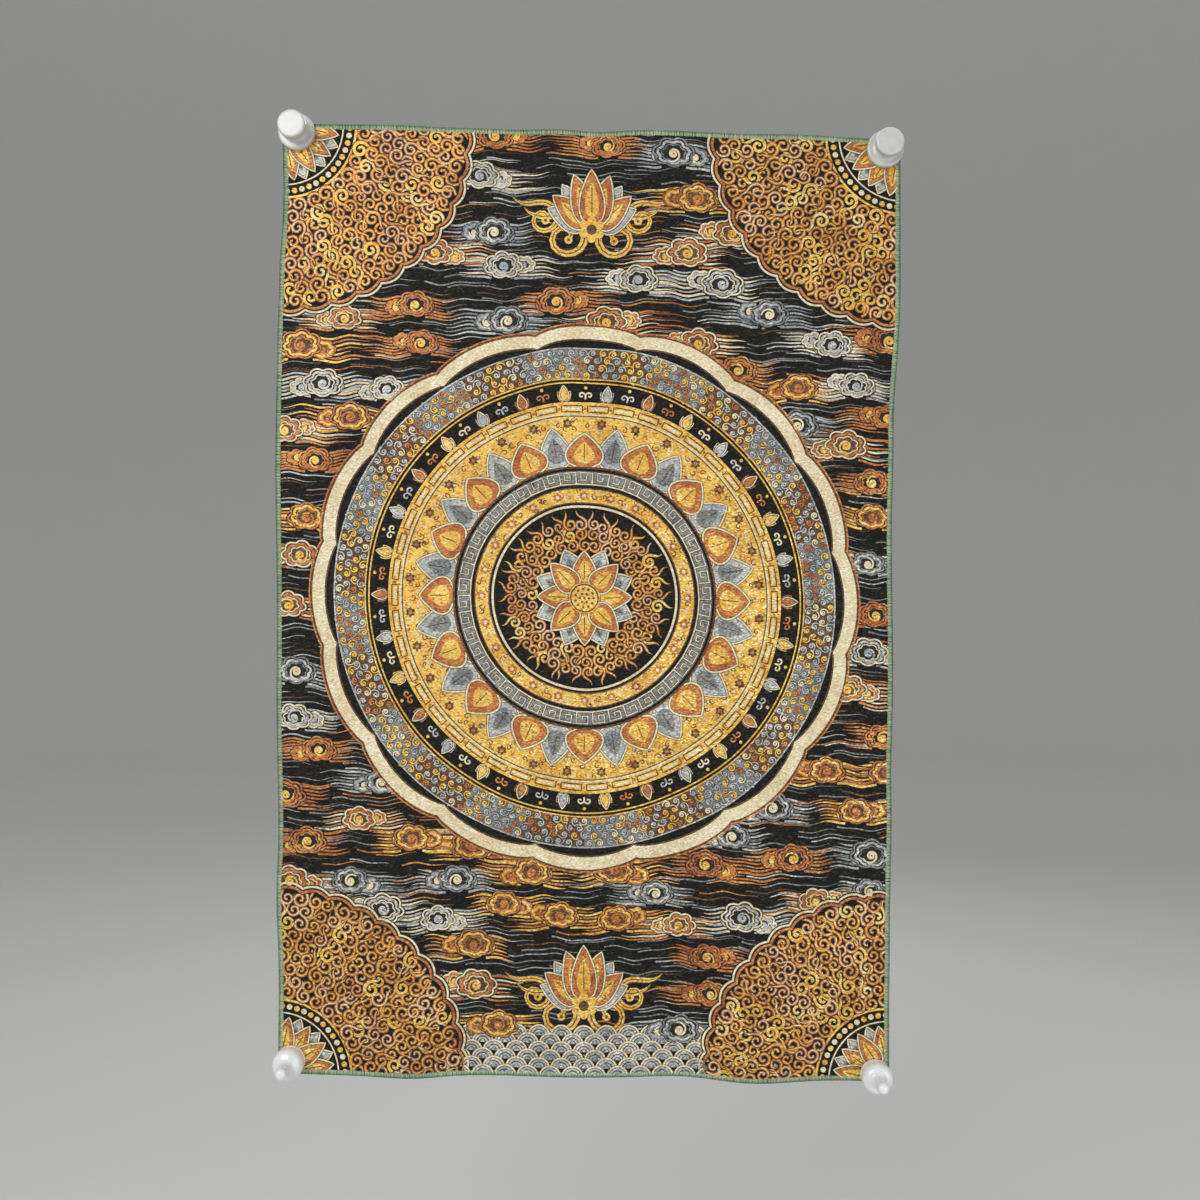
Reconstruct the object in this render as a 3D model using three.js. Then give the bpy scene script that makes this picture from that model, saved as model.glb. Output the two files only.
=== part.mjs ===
import * as THREE from 'three';

// A woven brocade panel with an overlocked edge, held to a wall by a white pin at each corner.
// Lengths are in millimetres. +X runs to the viewer's right, +Z up and +Y into the wall.
// The wall's face is the plane y = 0, and the origin lies on it at the middle of the top edge.

// Outline of the panel with its edging: the corners, a little out of square as it hangs.
const CORNERS = {
  topLeft: { x: -302.6, z: 8.3 },
  topRight: { x: 302.6, z: -8.3 },
  bottomLeft: { x: -306.5, z: -920.7 },
  bottomRight: { x: 291.8, z: -929.5 },
};

// How far each side wanders out (+) or in (-) from the straight line between its corners.
// at is the share of the side, counted rightwards or downwards.
const WANDER = {
  top: [
    { at: 0.0, out: 0.0 },
    { at: 0.19, out: 1.6 },
    { at: 0.27, out: -0.2 },
    { at: 0.38, out: 0.0 },
    { at: 0.45, out: 1.9 },
    { at: 0.51, out: 0.4 },
    { at: 0.59, out: 3.0 },
    { at: 0.74, out: 1.4 },
    { at: 0.84, out: 3.2 },
    { at: 1.0, out: 0.0 },
  ],
  bottom: [
    { at: 0.0, out: 0.0 },
    { at: 0.2, out: 1.6 },
    { at: 0.3, out: -2.2 },
    { at: 0.44, out: -0.7 },
    { at: 0.58, out: -1.6 },
    { at: 0.66, out: -3.2 },
    { at: 0.79, out: 1.3 },
    { at: 0.92, out: -0.7 },
    { at: 1.0, out: 0.0 },
  ],
  left: [
    { at: 0.0, out: 0.0 },
    { at: 0.08, out: -1.6 },
    { at: 0.16, out: 1.4 },
    { at: 0.24, out: 3.5 },
    { at: 0.5, out: 3.1 },
    { at: 0.65, out: 1.9 },
    { at: 0.75, out: 0.5 },
    { at: 0.8, out: 1.2 },
    { at: 0.89, out: -0.1 },
    { at: 1.0, out: 0.0 },
  ],
  right: [
    { at: 0.0, out: 0.0 },
    { at: 0.11, out: 1.3 },
    { at: 0.21, out: 0.3 },
    { at: 0.31, out: -4.5 },
    { at: 0.4, out: -4.3 },
    { at: 0.59, out: -1.5 },
    { at: 0.69, out: -2.4 },
    { at: 0.79, out: -1.3 },
    { at: 0.86, out: -1.6 },
    { at: 1.0, out: 0.0 },
  ],
};

// Soft ripples that stand off the wall at the sides, between the pins. Each crest is on a side
// at a share of its length, fades over length along the side, and over depth into the cloth.
const RIPPLES = [
  { side: 'top', at: 0.3, length: 62, depth: 90, lift: 3.0 },
  { side: 'top', at: 0.7, length: 80, depth: 110, lift: 3.4 },
  { side: 'bottom', at: 0.22, length: 70, depth: 130, lift: 8.0 },
  { side: 'bottom', at: 0.5, length: 46, depth: 70, lift: 2.4 },
  { side: 'bottom', at: 0.8, length: 62, depth: 140, lift: 8.5 },
  { side: 'left', at: 0.14, length: 38, depth: 60, lift: 3.2 },
  { side: 'left', at: 0.36, length: 90, depth: 100, lift: 5.0 },
  { side: 'left', at: 0.62, length: 60, depth: 80, lift: 2.6 },
  { side: 'left', at: 0.82, length: 52, depth: 90, lift: 4.6 },
  { side: 'right', at: 0.17, length: 48, depth: 70, lift: 3.6 },
  { side: 'right', at: 0.34, length: 40, depth: 120, lift: 7.0 },
  { side: 'right', at: 0.56, length: 74, depth: 80, lift: 3.2 },
  { side: 'right', at: 0.72, length: 46, depth: 100, lift: 6.0 },
  { side: 'right', at: 0.88, length: 40, depth: 70, lift: 3.4 },
];

// Broad swells of the open field: the crest's middle, its half-widths across and down, its turn
// in degrees and its lift.
const SWELLS = [
  { x: -120, z: -250, across: 170, down: 90, turn: 18, lift: 3.0 },
  { x: 110, z: -420, across: 130, down: 190, turn: -12, lift: 3.6 },
  { x: -90, z: -640, across: 190, down: 100, turn: -24, lift: 2.6 },
  { x: 120, z: -760, across: 110, down: 110, turn: 30, lift: 2.2 },
];

// Where a pin holds the cloth, it lies flat on the wall out to FLAT_REACH and is free at FREE_REACH.
const FLAT_REACH = 46;
const FREE_REACH = 150;

// Thicknesses from the wall outwards. The edging's thread lies behind and in front of the cloth.
const CLOTH_THICKNESS = 1.0;
const THREAD_THICKNESS = 0.6;
const GAP = 0.3;
const EDGING_WIDTH = 5.8;
const CLOTH_BACK = THREAD_THICKNESS + GAP;
const CLOTH_FRONT = CLOTH_BACK + CLOTH_THICKNESS;
const EDGING_SLOT_FRONT = CLOTH_FRONT + GAP;
const EDGING_FRONT = EDGING_SLOT_FRONT + THREAD_THICKNESS;

// Cells of the cloth between the edgings.
const CELLS_ACROSS = 24;
const CELLS_DOWN = 36;

// The pins at the top are spools: a base, a waist and a head.
const SPOOL = {
  baseRadius: 17.8,
  baseHeight: 7.0,
  waistRadius: 9.0,
  waistHeight: 12.5,
  headRadius: 13.6,
  headUnderside: 18.5,
  height: 26.0,
  rounding: 2.6,
};

// The pins at the bottom are full, shallow domes on a low base, parted from it by a groove. The
// dome is widest at bulgeHeight, and runs into a stout neck with a round nub at its end.
const DOME = {
  baseRadius: 14.6,
  baseHeight: 3.4,
  grooveRadius: 13.9,
  grooveHeight: 4.5,
  bulgeRadius: 15.1,
  bulgeHeight: 11.0,
  domeHeight: 19.5,
  neckRadius: 5.4,
  nubRadius: 5.9,
  nubUnderside: 27.0,
  height: 40.5,
  rounding: 3.4,
};

const PIN_SEGMENTS = 28;
const CURVE_STEPS = 3;

const PINS = [
  { name: 'pin_top_left', x: -287.0, z: -1.5, form: spoolProfile(SPOOL) },
  { name: 'pin_top_right', x: 286.5, z: -18.5, form: spoolProfile(SPOOL) },
  { name: 'pin_bottom_left', x: -293.5, z: -907.0, form: domeProfile(DOME) },
  { name: 'pin_bottom_right', x: 277.1, z: -920.5, form: domeProfile(DOME) },
];

const BROCADE = new THREE.MeshStandardMaterial({ color: 0x8a6a35, roughness: 0.7, metalness: 0.15 });
const EDGING_THREAD = new THREE.MeshStandardMaterial({ color: 0x6f9070, roughness: 0.75 });
const WHITE_PLASTIC = new THREE.MeshStandardMaterial({ color: 0xececea, roughness: 0.3 });

// Fades from 0 to 1 between two values, level at both ends.
function fade(from, to, value) {
  const share = THREE.MathUtils.clamp((value - from) / (to - from), 0, 1);
  return share * share * (3 - 2 * share);
}

// The value of a wander table at a share of the side, on a smooth curve through its rows.
function wanderAt(rows, share) {
  const last = rows.length - 2;
  const found = rows.findIndex((row, i) => i > 0 && share <= row.at) - 1;
  const i = found < 0 ? last : found;
  const slope = (k) => {
    const before = rows[Math.max(k - 1, 0)];
    const after = rows[Math.min(k + 1, rows.length - 1)];
    return (after.out - before.out) / (after.at - before.at);
  };
  const span = rows[i + 1].at - rows[i].at;
  const t = (share - rows[i].at) / span;
  const keepStart = (1 + 2 * t) * (1 - t) * (1 - t);
  const keepEnd = t * t * (3 - 2 * t);
  const leaveStart = t * (1 - t) * (1 - t) * span * slope(i);
  const reachEnd = t * t * (t - 1) * span * slope(i + 1);
  return rows[i].out * keepStart + rows[i + 1].out * keepEnd + leaveStart + reachEnd;
}

// A point of one side of the outline, at a share of its length.
function sidePoint(side, share) {
  const ends = {
    top: [CORNERS.topLeft, CORNERS.topRight],
    bottom: [CORNERS.bottomLeft, CORNERS.bottomRight],
    left: [CORNERS.topLeft, CORNERS.bottomLeft],
    right: [CORNERS.topRight, CORNERS.bottomRight],
  }[side];
  const outward = { top: [0, 1], bottom: [0, -1], left: [-1, 0], right: [1, 0] }[side];
  const out = wanderAt(WANDER[side], share);
  return {
    x: THREE.MathUtils.lerp(ends[0].x, ends[1].x, share) + outward[0] * out,
    z: THREE.MathUtils.lerp(ends[0].z, ends[1].z, share) + outward[1] * out,
  };
}

// A point of the panel at shares across and down, blended from its four sides.
function panelPoint(across, down) {
  const top = sidePoint('top', across);
  const bottom = sidePoint('bottom', across);
  const left = sidePoint('left', down);
  const right = sidePoint('right', down);
  const blend = (axis) => {
    const sides = THREE.MathUtils.lerp(left[axis], right[axis], across);
    const ends = THREE.MathUtils.lerp(top[axis], bottom[axis], down);
    const upper = THREE.MathUtils.lerp(CORNERS.topLeft[axis], CORNERS.topRight[axis], across);
    const lower = THREE.MathUtils.lerp(CORNERS.bottomLeft[axis], CORNERS.bottomRight[axis], across);
    return sides + ends - THREE.MathUtils.lerp(upper, lower, down);
  };
  return { x: blend('x'), z: blend('z') };
}

// How far the panel stands off the wall at a point.
function standOff(x, z) {
  let lift = 0;
  for (const ripple of RIPPLES) {
    const crest = sidePoint(ripple.side, ripple.at);
    const upright = ripple.side === 'left' || ripple.side === 'right';
    const along = (upright ? z - crest.z : x - crest.x) / ripple.length;
    const inward = (upright ? x - crest.x : z - crest.z) / ripple.depth;
    lift += ripple.lift * Math.exp(-along * along - inward * inward);
  }
  for (const swell of SWELLS) {
    const turn = THREE.MathUtils.degToRad(swell.turn);
    const right = (x - swell.x) * Math.cos(turn) + (z - swell.z) * Math.sin(turn);
    const up = (z - swell.z) * Math.cos(turn) - (x - swell.x) * Math.sin(turn);
    lift += swell.lift * Math.exp(-((right / swell.across) ** 2) - (up / swell.down) ** 2);
  }
  for (const pin of PINS) {
    lift *= fade(FLAT_REACH, FREE_REACH, Math.hypot(x - pin.x, z - pin.z));
  }
  return lift;
}

// A point of the hung panel, out from the wall side by a depth.
function hungPoint(across, down, depth) {
  const { x, z } = panelPoint(across, down);
  return new THREE.Vector3(x, -(standOff(x, z) + depth), z);
}

// Shares of a width or height at the edge itself, at the edging's inner line, and between.
function shares(length, edge, cells) {
  const inner = EDGING_WIDTH / length;
  const list = [edge / length, inner];
  for (let i = 1; i < cells; i++) {
    list.push(THREE.MathUtils.lerp(inner, 1 - inner, i / cells));
  }
  list.push(1 - inner, 1 - edge / length);
  return list;
}

const WIDTH = CORNERS.topRight.x - CORNERS.topLeft.x;
const HEIGHT = CORNERS.topLeft.z - CORNERS.bottomLeft.z;
const CLOTH_EDGE = THREAD_THICKNESS + GAP;

// An indexed geometry from points and triangles.
function solidOf(points, triangles) {
  const geometry = new THREE.BufferGeometry();
  geometry.setFromPoints(points);
  geometry.setIndex(triangles.flat());
  geometry.computeVertexNormals();
  return geometry;
}

// The cloth: a front and a back grid, joined round the rim.
function clothGeometry() {
  const across = shares(WIDTH, CLOTH_EDGE, CELLS_ACROSS);
  const down = shares(HEIGHT, CLOTH_EDGE, CELLS_DOWN);
  const points = [];
  for (const depth of [CLOTH_FRONT, CLOTH_BACK]) {
    for (const v of down) {
      for (const u of across) {
        points.push(hungPoint(u, v, depth));
      }
    }
  }
  const back = across.length * down.length;
  const at = (column, row) => row * across.length + column;
  const triangles = [];
  for (let row = 0; row < down.length - 1; row++) {
    for (let column = 0; column < across.length - 1; column++) {
      const [a, b] = [at(column, row), at(column + 1, row)];
      const [c, d] = [at(column, row + 1), at(column + 1, row + 1)];
      triangles.push([a, c, b], [b, c, d]);
      triangles.push([back + a, back + b, back + c], [back + b, back + d, back + c]);
    }
  }
  const rim = [];
  for (let column = 0; column < across.length - 1; column++) {
    rim.push([at(column, 0), at(column + 1, 0)]);
    rim.push([at(column + 1, down.length - 1), at(column, down.length - 1)]);
  }
  for (let row = 0; row < down.length - 1; row++) {
    rim.push([at(0, row + 1), at(0, row)]);
    rim.push([at(across.length - 1, row), at(across.length - 1, row + 1)]);
  }
  for (const [from, to] of rim) {
    triangles.push([from, to, back + to], [from, back + to, back + from]);
  }
  return solidOf(points, triangles);
}

// The section of an edging: reach in from the outline, and depth out from the wall side.
const EDGING_SECTION = [
  { reach: 0, depth: 0 },
  { reach: EDGING_WIDTH, depth: 0 },
  { reach: EDGING_WIDTH, depth: THREAD_THICKNESS },
  { reach: THREAD_THICKNESS, depth: THREAD_THICKNESS },
  { reach: THREAD_THICKNESS, depth: EDGING_SLOT_FRONT },
  { reach: EDGING_WIDTH, depth: EDGING_SLOT_FRONT },
  { reach: EDGING_WIDTH, depth: EDGING_FRONT },
  { reach: 0, depth: EDGING_FRONT },
];

// One edging: its section swept along a side, at the shares where the cloth has its own points.
function edgingGeometry(side, alongShares) {
  const upright = side === 'left' || side === 'right';
  const reachedAcross = upright ? WIDTH : HEIGHT;
  const fromFarEdge = side === 'right' || side === 'bottom';
  const points = [];
  for (const along of alongShares) {
    for (const corner of EDGING_SECTION) {
      const share = corner.reach / reachedAcross;
      const inward = fromFarEdge ? 1 - share : share;
      const [across, down] = upright ? [inward, along] : [along, inward];
      points.push(hungPoint(across, down, corner.depth));
    }
  }
  const count = EDGING_SECTION.length;
  const triangles = [];
  for (let step = 0; step < alongShares.length - 1; step++) {
    for (let k = 0; k < count; k++) {
      const [a, b] = [step * count + k, step * count + ((k + 1) % count)];
      triangles.push([a, a + count, b], [b, a + count, b + count]);
    }
  }
  const contour = EDGING_SECTION.map((corner) => new THREE.Vector2(corner.reach, corner.depth));
  const lastStart = (alongShares.length - 1) * count;
  for (const [a, b, c] of THREE.ShapeUtils.triangulateShape(contour, [])) {
    triangles.push([a, b, c], [lastStart + a, lastStart + c, lastStart + b]);
  }
  const mirrored = side === 'left' || side === 'bottom';
  return solidOf(points, mirrored ? triangles.map(([a, b, c]) => [a, c, b]) : triangles);
}

// Half of a spool's outline, from the middle of its base to the middle of its head.
function spoolProfile(pin) {
  const path = new THREE.Path();
  const r = pin.rounding;
  path.moveTo(0, 0);
  path.lineTo(pin.baseRadius, 0);
  path.lineTo(pin.baseRadius, pin.baseHeight - r);
  path.quadraticCurveTo(pin.baseRadius, pin.baseHeight, pin.baseRadius - r, pin.baseHeight);
  path.quadraticCurveTo(pin.waistRadius, pin.baseHeight, pin.waistRadius, pin.waistHeight);
  path.quadraticCurveTo(pin.waistRadius, pin.headUnderside, pin.headRadius - r / 2, pin.headUnderside);
  path.quadraticCurveTo(pin.headRadius, pin.headUnderside, pin.headRadius, pin.headUnderside + r / 2);
  path.lineTo(pin.headRadius, pin.height - r);
  path.quadraticCurveTo(pin.headRadius, pin.height, pin.headRadius - r, pin.height);
  path.lineTo(0, pin.height);
  return path.getPoints(CURVE_STEPS);
}

// Half of a dome's outline, from the middle of its base to the tip of its nub.
function domeProfile(pin) {
  const path = new THREE.Path();
  const r = pin.rounding;
  path.moveTo(0, 0);
  path.lineTo(pin.baseRadius, 0);
  path.lineTo(pin.baseRadius, pin.baseHeight);
  path.lineTo(pin.grooveRadius, pin.grooveHeight);
  path.quadraticCurveTo(pin.bulgeRadius, pin.grooveHeight, pin.bulgeRadius, pin.bulgeHeight);
  path.quadraticCurveTo(pin.bulgeRadius, pin.domeHeight - r / 2, pin.neckRadius + r, pin.domeHeight);
  path.quadraticCurveTo(pin.neckRadius, pin.domeHeight + r / 2, pin.neckRadius, pin.domeHeight + 2 * r);
  path.lineTo(pin.neckRadius, pin.nubUnderside);
  path.quadraticCurveTo(pin.nubRadius, pin.nubUnderside, pin.nubRadius, pin.height - pin.nubRadius);
  path.quadraticCurveTo(pin.nubRadius, pin.height, 0, pin.height);
  return path.getPoints(CURVE_STEPS);
}

const panel = new THREE.Group();

const cloth = new THREE.Mesh(clothGeometry(), BROCADE);
cloth.name = 'cloth_panel';
panel.add(cloth);

// The side edgings run the whole height, and the others fit between them.
const fullHeight = [0, ...shares(HEIGHT, CLOTH_EDGE, CELLS_DOWN).slice(1, -1), 1];
const between = shares(WIDTH, CLOTH_EDGE, CELLS_ACROSS).slice(1, -1);
between[0] += GAP / WIDTH;
between[between.length - 1] -= GAP / WIDTH;
const EDGINGS = [
  { side: 'left', along: fullHeight },
  { side: 'right', along: fullHeight },
  { side: 'top', along: between },
  { side: 'bottom', along: between },
];
for (const { side, along } of EDGINGS) {
  const edging = new THREE.Mesh(edgingGeometry(side, along), EDGING_THREAD);
  edging.name = `overlock_${side}`;
  panel.add(edging);
}

for (const pin of PINS) {
  const mesh = new THREE.Mesh(new THREE.LatheGeometry(pin.form, PIN_SEGMENTS), WHITE_PLASTIC);
  mesh.name = pin.name;
  mesh.rotation.x = Math.PI;
  mesh.position.set(pin.x, -(EDGING_FRONT + GAP), pin.z);
  panel.add(mesh);
}

export default panel;
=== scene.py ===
"""The looks of a woven brocade panel that hangs on four white wall pins.

The design is a generic one: a lotus medallion, a fan of flame scrolls at each corner, and
drifting scroll clouds between them. It is drawn in the panel's own millimetres, from its
middle, and every figure then hangs with the cloth on the folds of the solid model.
"""

import math

import bmesh
import bpy
import numpy as np
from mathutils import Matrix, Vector


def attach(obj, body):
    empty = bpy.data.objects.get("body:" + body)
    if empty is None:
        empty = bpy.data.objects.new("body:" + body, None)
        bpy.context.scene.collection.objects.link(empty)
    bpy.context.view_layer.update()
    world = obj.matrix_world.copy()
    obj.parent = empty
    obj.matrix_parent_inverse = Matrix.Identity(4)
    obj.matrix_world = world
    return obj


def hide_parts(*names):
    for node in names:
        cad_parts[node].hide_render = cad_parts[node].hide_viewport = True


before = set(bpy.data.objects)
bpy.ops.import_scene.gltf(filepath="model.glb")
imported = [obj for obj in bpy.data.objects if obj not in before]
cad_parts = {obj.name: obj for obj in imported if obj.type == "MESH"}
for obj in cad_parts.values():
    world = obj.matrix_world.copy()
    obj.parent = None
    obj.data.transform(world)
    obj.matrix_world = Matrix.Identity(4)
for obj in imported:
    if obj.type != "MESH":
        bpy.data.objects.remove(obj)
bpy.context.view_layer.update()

MM = 0.001
TAU = math.tau
rng = np.random.default_rng(11)

# The hung outline, in the solid model's millimetres.
TOP_LEFT = (-302.6, 8.3)
TOP_RIGHT = (302.6, -8.3)
BOTTOM_LEFT = (-306.5, -920.7)
BOTTOM_RIGHT = (291.8, -929.5)

# How far each side wanders out from the straight line between its corners: share of the
# side, and millimetres out.
WANDER = {
    "top": [
        (0, 0), (0.19, 1.6), (0.27, -0.2), (0.38, 0), (0.45, 1.9),
        (0.51, 0.4), (0.59, 3), (0.74, 1.4), (0.84, 3.2), (1, 0),
    ],
    "bottom": [
        (0, 0), (0.2, 1.6), (0.3, -2.2), (0.44, -0.7), (0.58, -1.6),
        (0.66, -3.2), (0.79, 1.3), (0.92, -0.7), (1, 0),
    ],
    "left": [
        (0, 0), (0.08, -1.6), (0.16, 1.4), (0.24, 3.5), (0.5, 3.1),
        (0.65, 1.9), (0.75, 0.5), (0.8, 1.2), (0.89, -0.1), (1, 0),
    ],
    "right": [
        (0, 0), (0.11, 1.3), (0.21, 0.3), (0.31, -4.5), (0.4, -4.3),
        (0.59, -1.5), (0.69, -2.4), (0.79, -1.3), (0.86, -1.6), (1, 0),
    ],
}

# Ripples at the sides: side, share, length along it, depth into the cloth, lift.
RIPPLES = [
    ("top", 0.3, 62, 90, 3.0),
    ("top", 0.7, 80, 110, 3.4),
    ("bottom", 0.22, 70, 130, 8.0),
    ("bottom", 0.5, 46, 70, 2.4),
    ("bottom", 0.8, 62, 140, 8.5),
    ("left", 0.14, 38, 60, 3.2),
    ("left", 0.36, 90, 100, 5.0),
    ("left", 0.62, 60, 80, 2.6),
    ("left", 0.82, 52, 90, 4.6),
    ("right", 0.17, 48, 70, 3.6),
    ("right", 0.34, 40, 120, 7.0),
    ("right", 0.56, 74, 80, 3.2),
    ("right", 0.72, 46, 100, 6.0),
    ("right", 0.88, 40, 70, 3.4),
]

# Broad swells of the field: x, z, half-widths across and down, turn in degrees, lift.
SWELLS = [
    (-120, -250, 170, 90, 18, 3.0),
    (110, -420, 130, 190, -12, 3.6),
    (-90, -640, 190, 100, -24, 2.6),
    (120, -760, 110, 110, 30, 2.2),
]
FLAT_REACH = 46
FREE_REACH = 150

# Where the layers lie, in millimetres out from the wall.
CLOTH_BACK = 1.0
CLOTH_FRONT = 1.8
PIN_BACK = 3.1

# The cloth's small unevenness: its height, how far in the edging draws the cloth, and how far
# from a pin's middle it starts.
PUCKER = 0.16
DRAWN_IN = 11.0
PUCKER_START = 16

PIN_SPOTS = {
    "pin_top_left": (-287.0, -1.5),
    "pin_top_right": (286.5, -18.5),
    "pin_bottom_left": (-293.5, -907.0),
    "pin_bottom_right": (277.1, -920.5),
}

# The design's own size, and how far from its middle the figures reach under the edging.
PANEL_WIDTH = 600.0
PANEL_HEIGHT = 925.0
REACH_S = PANEL_WIDTH / 2 - 3.0
REACH_T = PANEL_HEIGHT / 2 - 3.0


# The hung cloth

def smooth_table(rows, share):
    """The value of a table at shares of a side, on a smooth curve through its rows."""
    at, out = np.array(rows, float).T
    i = np.clip(np.searchsorted(at, share, side="left") - 1, 0, len(at) - 2)
    before = np.maximum(np.arange(len(at)) - 1, 0)
    after = np.minimum(np.arange(len(at)) + 1, len(at) - 1)
    slope = (out[after] - out[before]) / (at[after] - at[before])
    span = at[i + 1] - at[i]
    t = (share - at[i]) / span
    return (
        out[i] * (1 + 2 * t) * (1 - t) ** 2
        + out[i + 1] * t * t * (3 - 2 * t)
        + t * (1 - t) ** 2 * span * slope[i]
        + t * t * (t - 1) * span * slope[i + 1]
    )


SIDES = {
    "top": (TOP_LEFT, TOP_RIGHT, (0, 1)),
    "bottom": (BOTTOM_LEFT, BOTTOM_RIGHT, (0, -1)),
    "left": (TOP_LEFT, BOTTOM_LEFT, (-1, 0)),
    "right": (TOP_RIGHT, BOTTOM_RIGHT, (1, 0)),
}


def side_point(side, share):
    """Points of one side of the outline, as an array of x and z."""
    start, end, outward = (np.array(p, float) for p in SIDES[side])
    share = np.asarray(share, float)[..., None]
    out = smooth_table(WANDER[side], share)
    return start + (end - start) * share + outward * out


def panel_point(across, down):
    """Points of the panel at shares across and down, blended from its four sides."""
    u = np.asarray(across, float)[..., None]
    v = np.asarray(down, float)[..., None]
    sides = side_point("left", down) * (1 - u) + side_point("right", down) * u
    ends = side_point("top", across) * (1 - v) + side_point("bottom", across) * v
    upper = np.array(TOP_LEFT) * (1 - u) + np.array(TOP_RIGHT) * u
    lower = np.array(BOTTOM_LEFT) * (1 - u) + np.array(BOTTOM_RIGHT) * u
    return sides + ends - upper * (1 - v) - lower * v


def fade(start, end, value):
    share = np.clip((value - start) / (end - start), 0, 1)
    return share * share * (3 - 2 * share)


def clear_of_pins(x, z, start, end):
    """How free the cloth is of the pins: 0 up to start from a pin's middle, and 1 from end."""
    free = 1.0
    for pin_x, pin_z in PIN_SPOTS.values():
        free = free * fade(start, end, np.hypot(x - pin_x, z - pin_z))
    return free


def stand_off(x, z):
    """How far the panel stands off the wall."""
    lift = np.zeros_like(x)
    for side, at, length, depth, height in RIPPLES:
        crest = side_point(side, at)
        if side in ("left", "right"):
            along, inward = (z - crest[1]) / length, (x - crest[0]) / depth
        else:
            along, inward = (x - crest[0]) / length, (z - crest[1]) / depth
        lift += height * np.exp(-along * along - inward * inward)
    for middle_x, middle_z, across, down, turn, height in SWELLS:
        c, s = math.cos(math.radians(turn)), math.sin(math.radians(turn))
        right = ((x - middle_x) * c + (z - middle_z) * s) / across
        up = ((z - middle_z) * c - (x - middle_x) * s) / down
        lift += height * np.exp(-right * right - up * up)
    return lift * clear_of_pins(x, z, FLAT_REACH, FREE_REACH)


def pucker(x, z, across, down):
    """The small unevenness of the cloth, strongest where the edging draws it in."""
    reach_x = np.minimum(across, 1 - across) * PANEL_WIDTH
    reach_z = np.minimum(down, 1 - down) * PANEL_HEIGHT
    drawn = np.exp(-reach_x / DRAWN_IN) * np.sin(z / 2.3 + 1.7 * np.sin(z / 31))
    drawn += np.exp(-reach_z / DRAWN_IN) * np.sin(x / 2.5 + 1.5 * np.sin(x / 27))
    slack = np.sin(x / 19 + 2 * np.sin(z / 43)) * np.sin(z / 15 + 1.3 * np.sin(x / 37))
    return PUCKER * (drawn + slack) * clear_of_pins(x, z, PUCKER_START, FLAT_REACH)


def hang_shares(across, down, depth):
    """Points in metres at shares of the panel, depth millimetres out from the wall side."""
    x, z = np.moveaxis(panel_point(across, down), -1, 0)
    out = stand_off(x, z) + pucker(x, z, across, down) + depth
    return np.stack([x, -out, z], axis=-1) * MM


def hang(points, depth):
    """Points in metres of design points in millimetres from the panel's middle."""
    across = 0.5 + points[..., 0] / PANEL_WIDTH
    down = 0.5 - points[..., 1] / PANEL_HEIGHT
    return hang_shares(across, down, depth)


# Meshes

# The lower left corner of the flat map that the finishes are laid out on, in metres.
MAP_CORNER = (-0.32, -0.95)


def new_object(name, data):
    made = bpy.data.objects.new(name, data)
    bpy.context.scene.collection.objects.link(made)
    return made


def mesh_object(name, points, quads, uvs=None):
    """A smooth object from points and quads, with the map that its finish is laid out on."""
    mesh = bpy.data.meshes.new(name)
    mesh.vertices.add(len(points))
    mesh.vertices.foreach_set("co", points.astype(np.float32).ravel())
    mesh.loops.add(quads.size)
    mesh.loops.foreach_set("vertex_index", quads.astype(np.int32).ravel())
    mesh.polygons.add(len(quads))
    mesh.polygons.foreach_set("loop_start", np.arange(len(quads), dtype=np.int32) * 4)
    mesh.polygons.foreach_set("use_smooth", np.ones(len(quads), bool))
    if uvs is not None:
        layer = mesh.uv_layers.new(name="OFBake")
        layer.data.foreach_set("uv", uvs[quads].astype(np.float32).ravel())
    mesh.update(calc_edges=True)
    mesh.validate()
    return new_object(name, mesh)


def grid_quads(rows, columns):
    """Quads of a grid of points, row by row."""
    row, column = np.meshgrid(np.arange(rows - 1), np.arange(columns - 1), indexing="ij")
    a = (row * columns + column).ravel()
    return np.stack([a, a + 1, a + columns + 1, a + columns], axis=1)


def flat_map(points):
    """Where points lie on the flat map: x and z, within one square."""
    return points[:, [0, 2]] - MAP_CORNER


# Figures

# The relief in millimetres: a layer of thread, and how far a line's middle stands above its
# sides. A dark halo lies a part of a layer under its line.
LAYER = 0.12
CROWN = 0.1
HALO_DROP = 0.12


class Threads:
    """The woven figures of one colour."""

    def __init__(self, name):
        self.name = name
        self.points = []
        self.lifts = []
        self.quads = []
        self.count = 0

    def patch(self, grid, lift, keep=None):
        """A grid of design points, lifted above the ground, without what lies outside."""
        rows, columns = grid.shape[:2]
        quads = grid_quads(rows, columns)
        flat = grid.reshape(-1, 2)
        middle = flat[quads].mean(axis=1)
        inside = (np.abs(middle[:, 0]) < REACH_S) & (np.abs(middle[:, 1]) < REACH_T)
        if keep is not None:
            inside &= keep(middle)
        quads = quads[inside]
        if not len(quads):
            return
        used, quads = np.unique(quads, return_inverse=True)
        quads = quads.reshape(-1, 4)
        flat = np.clip(flat[used], (-REACH_S, -REACH_T), (REACH_S, REACH_T))
        self.points.append(flat)
        self.lifts.append(np.broadcast_to(lift, (rows, columns)).reshape(-1)[used])
        self.quads.append(quads + self.count)
        self.count += len(flat)

    def build(self):
        """The figures as one object, hung on the front of the cloth."""
        points, lifts = np.concatenate(self.points), np.concatenate(self.lifts)
        hung = hang(points, CLOTH_FRONT + lifts)
        quads = np.concatenate(self.quads)
        return mesh_object("figure_" + self.name, hung, quads, flat_map(hung))


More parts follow.
